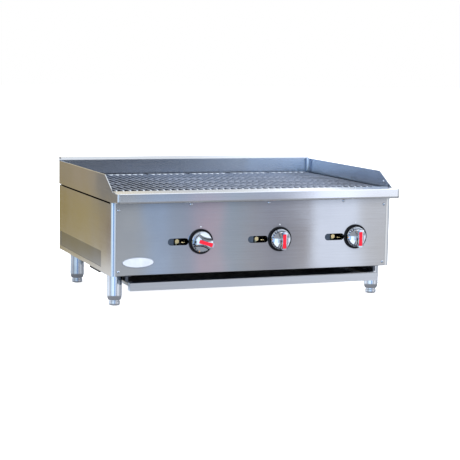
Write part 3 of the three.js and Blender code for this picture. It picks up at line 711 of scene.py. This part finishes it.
def knob(side):
    body, x = f"{side}_knob", BURNER_SIDES[side] + KNOB_OFFSET
    back, front = -spans(f"{side}_bezel")[1][0] + 0.3, -spans(body)[1][0]
    centre = (x, 0, VALVE_Z)
    grip, strip = knob_grip(x, back, front), red_strip(x, front)
    marks = [knob_mark(centre, angle, (-back - SKIRT_DEPTH - 0.3, -back - 4)) for angle in MARK_ANGLES]
    for mesh in (grip, strip, *marks):
        mesh.transform(turned_about(centre, KNOB_TURNS[side]))
    piece(f"{side}_knob_grip", grip, CHROME, [body], body, slot="chrome", edge=0.5, segments=3)
    piece(f"{side}_knob_red_strip", strip, RED, (), body, slot="chrome", edge=0.15)
    for index, mark in enumerate(marks):
        paint = ORANGE if index == ORANGE_MARK else BLACK
        piece(f"{side}_knob_mark_{index}", mark, paint, (), body, slot="black_plastic", edge=0.1)
    piece(f"{side}_index_dot", turned(DOT_PROFILE, (x, 0, INDEX_DOT_Z), "Y", 24), WHITE, edge=0)
    bezel = turned(BEZEL_PROFILE, centre, "Y", KNOB_SEGMENTS)
    piece(f"{side}_bezel_ring", bezel, BLACK, [f"{side}_bezel"], slot="black_plastic", edge=0.2)


for side in BURNER_SIDES:
    knob(side)

# ---------------------------------------------------------------- grates

GRATE_BARS, BAR_WIDTH = 7, 6.8
NOSE_LENGTH, NOSE_DROP = 26, 6  # of the grates' sloping front
RIB_PLACES = (90, 181, 290, 415)


def bar_section(x, bottom, top):
    """A bar's outline: upright sides, then a narrower rounded crest."""
    half, crest, shoulder = BAR_WIDTH / 2, 2.2, top - 6
    return rounded([(x - half, bottom), (x + half, bottom), (x + half, shoulder), (x + crest, top, 1.8),
                    (x - crest, top, 1.8), (x - half, shoulder)], 3)


def grate(index):
    """Seven bars on four ribs and two end bars, with a painted highlight on the upper forward-facing faces
    at its nose and its rear bar and on the upward faces of its nose.
    """
    name = f"grate_{index}"
    (x0, x1), (y0, y1), (z0, z1) = spans(name)
    pitch = (x1 - x0 - BAR_WIDTH) / (GRATE_BARS - 1)
    places = [x0 + BAR_WIDTH / 2 + i * pitch for i in range(GRATE_BARS)]
    shapes = [prism(bar_section(x, z0, z1), "Y", y0, y1) for x in places]
    inset, bottom = 0.5, z0 + 0.5
    ribs = [(y - 3, y + 3, z1 - 0.8, 1.6) for y in RIB_PLACES] + [(y1 - 8, y1 - 0.4, z1 - 0.6, 2.4)]
    for low, high, top, bevel in ribs:
        section = [(low, bottom), (high, bottom), (high, top), (low + bevel, top), (low, top - 1.3 * bevel)]
        shapes.append(prism(section, "X", x0 + inset, x1 - inset))
    shapes.append(block((x0 + inset, x1 - inset), (y0 + 0.4, y0 + 8), (bottom, z1 - 12)))
    nose_y = y0 + NOSE_LENGTH
    slope = prism([(y0 - 1, z1 + 1), (y0 - 1, z1 - NOSE_DROP), (nose_y, z1), (nose_y, z1 + 1)],
                  "X", x0 - 1, x1 + 1)
    casting = cut(union(*shapes), slope)
    piece(f"{name}_casting", casting, IRON, [name], name, slot="cast_iron", edge=0.5)
    casting.materials.append(HIGHLIGHT_IRON)
    nose_end, rear_bar = at(0, nose_y + 1, 0).y, at(0, y1 - 10, 0).y
    upper_half = at(0, 0, (z0 + z1) / 2 - 2).z
    # Painted highlight: the pale iron goes on the faces at the nose and the rear bar that face forwards or
    # up.
    for face in casting.polygons:
        facing_front = face.normal.y < -0.3 and face.center.z > upper_half
        sloped = face.normal.z > 0.5 and face.center.y < nose_end
        at_an_end = face.center.y < nose_end or face.center.y > rear_bar
        face.material_index = int(at_an_end and (facing_front or sloped))


for index in range(1, 7):
    grate(index)

# ---------------------------------------------------------------- drip tray


def drip_tray():
    """The pan with a hem along its lip, painted near-black inside as painted shade."""
    (x0, x1), (y0, _), (_, z1) = spans("drip_tray")
    pan = welded(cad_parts["drip_tray"].data.copy())
    hem_radius, lip_depth, rim = 2.1, 8, 16
    hem = rod(hem_radius, (x0, y0 + 2.6, z1 - hem_radius), "X", x1 - x0, 20)
    tray = union(pan, hem)
    piece("drip_tray_pan", tray, LIP_STEEL, ["drip_tray"], "drip_tray", edge=0.5)
    tray.materials.append(TRAY_SHADE)
    # Painted shade: the faces inside the pan take the near-black material.
    inside = at(0, y0 + lip_depth, 0).y
    for face in tray.polygons:
        faces_out = abs(face.center.x) > (x1 - rim) * MM and face.normal.z < 0.5
        face.material_index = int(face.center.y > inside and face.normal.z > -0.5 and not faces_out)


drip_tray()

# ---------------------------------------------------------------- fittings


def fitting(name, mesh, place, facing, material, **options):
    """Puts a mesh, built at the origin facing +Z, on a surface that faces that way."""
    turn = Vector((0, 0, 1)).rotation_difference(Vector(facing)).to_matrix().to_4x4()
    mesh.transform(Matrix.Translation(at(*place)) @ turn @ Matrix.Translation(-at(0, 0, 0)))
    piece(name, mesh, material, **options)


FRONT_SCREW, REAR_SCREW, SPLASH_SCREW = 4.4, 3.8, 5.5  # radii of their heads


def screw(name, place, facing, radius):
    """A domed screw head with a cross recess."""
    dome = [(radius, 0.5), (0.86 * radius, 1.4), (0.5 * radius, 2), (0, 2.2)]
    head = turned([(0, 0), (radius, 0), *dome], (0, 0, 0))
    recess = [block((-a, a), (-b, b), (1, 3)) for a, b in ((0.45, 0.55 * radius), (0.55 * radius, 0.45))]
    fitting(name, cut(head, *recess), place, facing, CHROME, slot="polished_steel", edge=0.12)


def screws():
    front, back = (0, -1, 0), (0, 1, 0)
    for side, hand in (("left", -1), ("right", 1)):
        for level, z in (("upper", 292), ("lower", 109)):
            screw(f"panel_{side}_{level}_screw", (hand * 435, 0, z), front, FRONT_SCREW)
        screw(f"{side}_splash_screw", (hand * (SIDE_X - SHEET), 46, 360), (-hand, 0, 0), SPLASH_SCREW)
    for index, x in enumerate((-210, 42, 294)):
        screw(f"rail_screw_{index + 1}", (x, 0, 306), front, FRONT_SCREW)
    back_face = spans("rear_panel")[1][1]
    for row, z in (("lower", 112), ("upper", 300)):
        for index, x in enumerate((-425, -212, 0, 212, 425)):
            screw(f"rear_{row}_screw_{index + 1}", (x, back_face, z), back, REAR_SCREW)


BADGE_X, BADGE_Z, BADGE_STEPS = -374.5, 135.5, 72


def badge():
    """A blank oval plate in a thin rim."""
    for name, (wide, tall), (low, high), material in (("badge_rim", (49.5, 16.5), (0.02, 1.4), POLISHED),
                                                      ("badge_plate", (47, 14), (0.4, 2.1), ENAMEL)):
        turns = [math.tau * k / BADGE_STEPS for k in range(BADGE_STEPS)]
        oval = [(BADGE_X + wide * math.cos(t), BADGE_Z + tall * math.sin(t)) for t in turns]
        piece(name, prism(oval, "Y", -high, -low), material, edge=0.5, segments=3)


JET_PROFILE = [(0, 0), (3.4, 0), (3.4, 5), (2.2, 6.5), (2.2, 12), (0, 12.4)]


def slot_fittings():
    """A blued plate behind the left third of each lighting slot, and the pilot's jet beside it."""
    for side, x in BURNER_SIDES.items():
        low, high = x + SLOT_OFFSET - 37, x + SLOT_OFFSET - 12
        path = rounded([(low, 26), (low, 5, 2), (high, 5, 2), (high, 26)])
        shield = prism(folded(path, THIN_SHEET), "Z", SLOT_Z - 14, SLOT_Z + 14)
        piece(f"{side}_slot_shield", shield, BLUED, slot="liner_steel", edge=0.3)
        jet = turned(JET_PROFILE, (x + SLOT_OFFSET + 13, 12, SLOT_Z - 4), "X", 6)
        piece(f"{side}_pilot_jet", jet, BRASS, slot="brass", edge=0.3)


def filler_strip():
    """The bent strip that closes the gap between the last grate and the splash."""
    low = spans("grate_6")[0][1] + 2
    (y0, y1), (_, grate_top) = spans("grate_6")[1:]
    high, bottom, top = low + 12, grate_top - 22, grate_top - 3
    path = rounded([(low, bottom), (low, top, 2), (high, top, 2), (high, bottom)])[::-1]
    strip = prism(folded(path, THIN_SHEET), "Y", y0 + 4, y1 - 4)
    piece("filler_strip", strip, STEEL_Y, slot="liner_steel", edge=0.3)


def corner_welds():
    """The hollow bead of weld up each rear corner, between the side and rear splashes, pale blue as a
    painted highlight.
    """
    x, y, radius, steps = SIDE_X - SHEET, BODY_BACK - SHEET, 8, 8
    turns = [math.pi / 2 * k / steps for k in range(steps + 1)]
    arc = [(x - radius * (1 - math.sin(t)), y - radius * (1 - math.cos(t))) for t in turns]
    bead = mesh_of(prism([(x, y)] + arc, "Z", RAIL_Z[1] + 1, SPLASH_Z[1] - 0.6))
    for side, shape in (("right", bead), ("left", mirrored(bead))):
        piece(f"{side}_corner_weld", shape, WELD_HIGHLIGHT_STEEL, edge=0)


def recess_plates():
    """The pressed plate that closes each side's shallow recess, and a black tab under that side as painted
    shade.
    """
    (y0, y1), (z0, z1) = RECESS["y"], RECESS["z"]
    gap, outer = 0.2, -SIDE_X + 0.7
    plate = mesh_of(block((outer, outer + 3), (y0 + gap, y1 - gap), (z0 + gap, z1 - gap)))
    # The black tab stands for the dark strip of shade under the side: painted shade.
    tab_y, tab_bottom = (126, 246), BODY_BOTTOM - 6.5
    outline = [(tab_y[0] + 10, tab_bottom), (tab_y[1], tab_bottom, 3), (tab_y[1], BODY_BOTTOM),
               (tab_y[0], BODY_BOTTOM)]
    tab = mesh_of(prism(rounded(outline), "X", -SIDE_X + 0.6, -SIDE_X + 5))
    for side, plate_mesh, tab_mesh in (("left", plate, tab), ("right", mirrored(plate), mirrored(tab))):
        piece(f"{side}_recess_plate", plate_mesh, RECESS_STEEL, edge=0.2)
        piece(f"{side}_shade_tab", tab_mesh, BLACK, slot="black_plastic", edge=0.3)


screws()
badge()
slot_fittings()
filler_strip()
corner_welds()
recess_plates()

# ---------------------------------------------------------------- remaining CAD nodes

FINISHES = {
    "rear_panel": STEEL_X, "base_rail": SHADED_INNER, "firebox_liner": LINER_STEEL, "grate_rest": SHADED_INNER,
    "tray_guide": SHADED_INNER, "burner": SHADED_INNER, "radiant": RADIANT_IRON, "air_shutter": SHADED_INNER, "valve_body": BRASS,
    "valve_stem": BRASS, "pilot": BRASS, "gas_manifold": BLACK_PIPE, "manifold_elbow": BLACK_PIPE,
    "gas_supply_pipe": BLACK_PIPE,
}
for name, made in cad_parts.items():
    if not made.hide_render:
        made.data.materials.clear()
        made.data.materials.append(next(finish for part, finish in FINISHES.items() if name.endswith(part)))

# ---------------------------------------------------------------- stage, light and camera

CAMERA_PLACE = (-1.5687, -4.1848, 0.7380)
CAMERA_YAW = math.radians(20.954)  # to the right of +Y
CAMERA_PITCH = math.radians(7.051)  # downwards
CAMERA_ROLL = math.radians(0.984)
CAMERA_LENS, SENSOR_WIDTH = 107.92, 36


def make_camera():
    data = bpy.data.cameras.new("camera")
    data.lens, data.sensor_width = CAMERA_LENS, SENSOR_WIDTH
    camera = placed("camera", data)
    yaw = Matrix.Rotation(-CAMERA_YAW, 4, "Z")
    pitch = Matrix.Rotation(math.pi / 2 - CAMERA_PITCH, 4, "X")
    roll = Matrix.Rotation(CAMERA_ROLL, 4, "Z")
    camera.matrix_world = Matrix.Translation(CAMERA_PLACE) @ yaw @ pitch @ roll
    bpy.context.scene.camera = camera


# What the studio shows round the horizon, in degrees from the front towards the right
HORIZON = [
    (-180, (0.8, 0.8, 0.78)), (-172, (0.38, 0.32, 0.18)), (-158, (0.38, 0.32, 0.18)),
    (-150, (0.9, 1.1, 1.4)), (-110, (1.1, 1.2, 1.35)), (-94, (0.72, 0.79, 0.9)),
    (-74, (0.5, 0.64, 0.86)), (-56, (1.05, 1.35, 1.6)), (-30, (1.2, 1.5, 1.85)),
    (-21, (1.0, 1.45, 2.05)), (-16, (0.27, 0.54, 1.1)), (-6, (0.32, 0.58, 1.1)),
    (2, (1.0, 1.2, 1.5)), (12, (0.8, 0.95, 1.15)), (30, (0.9, 0.95, 1.05)),
    (36, (1.3, 1.35, 1.4)), (46, (1.0, 1.05, 1.15)), (64, (0.85, 0.92, 1.05)),
    (74, (0.3, 0.34, 0.42)), (84, (0.6, 0.64, 0.7)), (102, (0.56, 0.6, 0.66)),
    (112, (0.1, 0.14, 0.22)), (128, (0.08, 0.12, 0.22)), (142, (1.3, 1.4, 1.6)),
    (156, (1.35, 1.42, 1.52)), (158, (0.82, 0.85, 0.87)), (161, (0.66, 0.68, 0.7)),
    (164, (1.0, 0.9, 0.66)), (167, (1.0, 0.9, 0.62)), (180, (0.8, 0.8, 0.78)),
]
# The sector that the front mirrors, in finer steps
FRONT_HORIZON = [
    (12, (0.52, 0.57, 0.64)), (17.1, (0.53, 0.58, 0.65)), (17.5, (0.47, 0.62, 0.88)),
    (18.3, (0.47, 0.6, 0.84)), (18.6, (0.43, 0.52, 0.68)), (19.5, (0.43, 0.5, 0.66)),
    (19.8, (0.64, 0.53, 0.66)), (20.6, (0.62, 0.55, 0.66)), (20.9, (0.41, 0.53, 0.66)),
    (21.6, (0.46, 0.47, 0.53)), (22.8, (0.36, 0.36, 0.44)), (23.6, (0.38, 0.38, 0.44)),
    (24.3, (0.54, 0.53, 0.58)), (24.5, (1.15, 1.26, 1.5)), (24.8, (1.06, 1.15, 1.38)),
    (26.2, (1.06, 1.16, 1.38)), (26.8, (0.74, 0.75, 0.8)), (30, (0.8, 0.84, 0.9)),
]
FRONT_SECTOR = (12, 14), (28, 30)  # where that comes in and goes out, over the coarser horizon
# The same sector over the rail, which the rear splash mirrors
UPPER_FRONT_HORIZON = [
    (12, (0.05, 0.06, 0.09)), (17, (0.08, 0.11, 0.18)), (19, (0.2, 0.27, 0.4)), (22, (0.36, 0.5, 0.74)),
    (25, (0.9, 1.0, 1.25)), (30, (1.0, 1.1, 1.3)),
]
RAIL_HEIGHT = (-0.087, -0.076)  # the blend from the front's horizon up to the one over the rail
# The sector that the left side mirrors, from its rear edge to its front edge
SIDE_HORIZON = [
    (-168, (0.38, 0.3, 0.14)), (-166.05, (0.4, 0.32, 0.15)), (-165.1, (0.47, 0.385, 0.195)),
    (-164.45, (0.43, 0.355, 0.2)), (-164.2, (0.39, 0.32, 0.21)), (-164, (0.26, 0.2, 0.17)),
    (-160, (0.28, 0.22, 0.18)),
]
SIDE_SECTOR = (-169, -168), (-162, -161)
# The same sector as the side splash and the rail's end mirror it, a little higher
SIDE_SPLASH_HORIZON = [
    (-168, (0.36, 0.3, 0.2)), (-166.05, (0.385, 0.325, 0.22)), (-165.1, (0.46, 0.385, 0.28)),
    (-164.6, (0.42, 0.37, 0.3)), (-164.3, (0.27, 0.26, 0.25)), (-164.0, (0.24, 0.24, 0.235)),
    (-163.8, (0.34, 0.34, 0.335)), (-160, (0.46, 0.46, 0.46)),
]
SPLASH_EDGE_RISE, SPLASH_EDGE_HEIGHT = 0.00675, -1.2134  # where the side's mirror image meets the splash's
EDGE_BLUR = 0.003

# Each is the heights of a smooth step, as sines of the elevation, and the colour beyond it
GROUND, GROUND_COLOUR = (-0.157, -0.138), (0.95, 0.95, 0.93)
GROUND_TURNS = (-156, -150)  # the pale ground ends here, so that it is only behind on the left
HAZE, HAZE_SHARE, HAZE_COLOUR = (-0.155, -0.11), 0.14, (0.95, 1.0, 1.08)
CEILING, CEILING_COLOUR = (0.15, 0.3), (1.12, 1.2, 1.32)
FLOOR, FLOOR_COLOUR = (-0.34, -0.18), (0.33, 0.35, 0.39)


def horizon(tree, turn, stops):
    """A colour for each direction round the horizon."""
    first, last = stops[0][0], stops[-1][0]
    inputs = {"Value": turn, "From Min": first, "From Max": last}
    share = node(tree, "ShaderNodeMapRange", inputs).outputs[0]
    return ramp(tree, share, [((degrees - first) / (last - first), colour) for degrees, colour in stops])


def make_world():
    """A soft studio: plain white where the camera sees it, and graded where the metal reflects it."""
    world = bpy.data.worlds.new("studio")
    bpy.context.scene.world = world
    world.use_nodes = True
    tree = world.node_tree
    tree.nodes.clear()
    direction = node(tree, "ShaderNodeTexCoord").outputs["Generated"]
    split = node(tree, "ShaderNodeSeparateXYZ", {0: direction}).outputs
    backwards = math_node(tree, "MULTIPLY", split["Y"], -1)
    turn = math_node(tree, "MULTIPLY", math_node(tree, "ARCTAN2", split["X"], backwards), math.degrees(1))
    height = split["Z"]
    upper = between(tree, height, *RAIL_HEIGHT)
    front = blend(tree, upper, horizon(tree, turn, FRONT_HORIZON), horizon(tree, turn, UPPER_FRONT_HORIZON))
    splash_edge = math_node(tree, "MULTIPLY_ADD", turn, -SPLASH_EDGE_RISE, SPLASH_EDGE_HEIGHT)
    over_edge = between(tree, math_node(tree, "SUBTRACT", height, splash_edge), -EDGE_BLUR, EDGE_BLUR)
    lower_side, upper_side = (horizon(tree, turn, stops) for stops in (SIDE_HORIZON, SIDE_SPLASH_HORIZON))
    side = blend(tree, over_edge, lower_side, upper_side)
    around = blend(tree, plateau(tree, turn, *SIDE_SECTOR), horizon(tree, turn, HORIZON), side)
    bands = blend(tree, plateau(tree, turn, *FRONT_SECTOR), around, front)
    low_down, behind = between(tree, height, *GROUND, 1, 0), between(tree, turn, *GROUND_TURNS, 1, 0)
    grounded = blend(tree, math_node(tree, "MULTIPLY", low_down, behind), bands, GROUND_COLOUR)
    hazy = blend(tree, between(tree, height, *HAZE, HAZE_SHARE, 0), grounded, HAZE_COLOUR)
    ceiling = blend(tree, between(tree, height, *CEILING), hazy, CEILING_COLOUR)
    whole = blend(tree, between(tree, height, *FLOOR, 1, 0), ceiling, FLOOR_COLOUR)
    light = node(tree, "ShaderNodeBackground", {"Color": whole, "Strength": 1.0})
    white = node(tree, "ShaderNodeBackground", {"Color": (1, 1, 1, 1), "Strength": 1.0})
    seen = node(tree, "ShaderNodeLightPath").outputs["Is Camera Ray"]
    mix = node(tree, "ShaderNodeMixShader", {0: seen, 1: light.outputs[0], 2: white.outputs[0]})
    node(tree, "ShaderNodeOutputWorld", {"Surface": mix.outputs[0]})


def make_floor():
    """A pale floor, just under the feet, that the metal doesn't mirror."""
    mesh = bpy.data.meshes.new("floor")
    reach, depth = 30, 0.0005
    corners = rectangle((-reach, reach), (-reach, reach))
    mesh.from_pydata([(x, y, -depth) for x, y in corners], [], [(0, 1, 2, 3)])
    material, _, shader = new_material("pale_floor")
    shader.inputs["Base Color"].default_value = (0.9, 0.9, 0.9, 1)
    shader.inputs["Roughness"].default_value = 0.9
    shader.inputs["Specular IOR Level"].default_value = 0.0
    shader.inputs["Emission Color"].default_value = (1, 1, 1, 1)
    shader.inputs["Emission Strength"].default_value = 0.8
    mesh.materials.append(material)
    floor = placed("floor", mesh)
    floor.visible_glossy = False


def area_light(name, place, target, size, power):
    data = bpy.data.lights.new(name, "AREA")
    data.shape, data.size, data.size_y = "RECTANGLE", *size
    data.energy = power
    lamp = placed(name, data)
    lamp.visible_glossy = False
    lamp.location = place
    lamp.rotation_euler = (Vector(target) - Vector(place)).to_track_quat("-Z", "Y").to_euler()


make_camera()
make_world()
make_floor()
area_light("top_softbox", (0, -0.2, 2.6), (0, 0, 0.3), (2.4, 1.6), 30)
bpy.context.scene.view_settings.view_transform = "Standard"
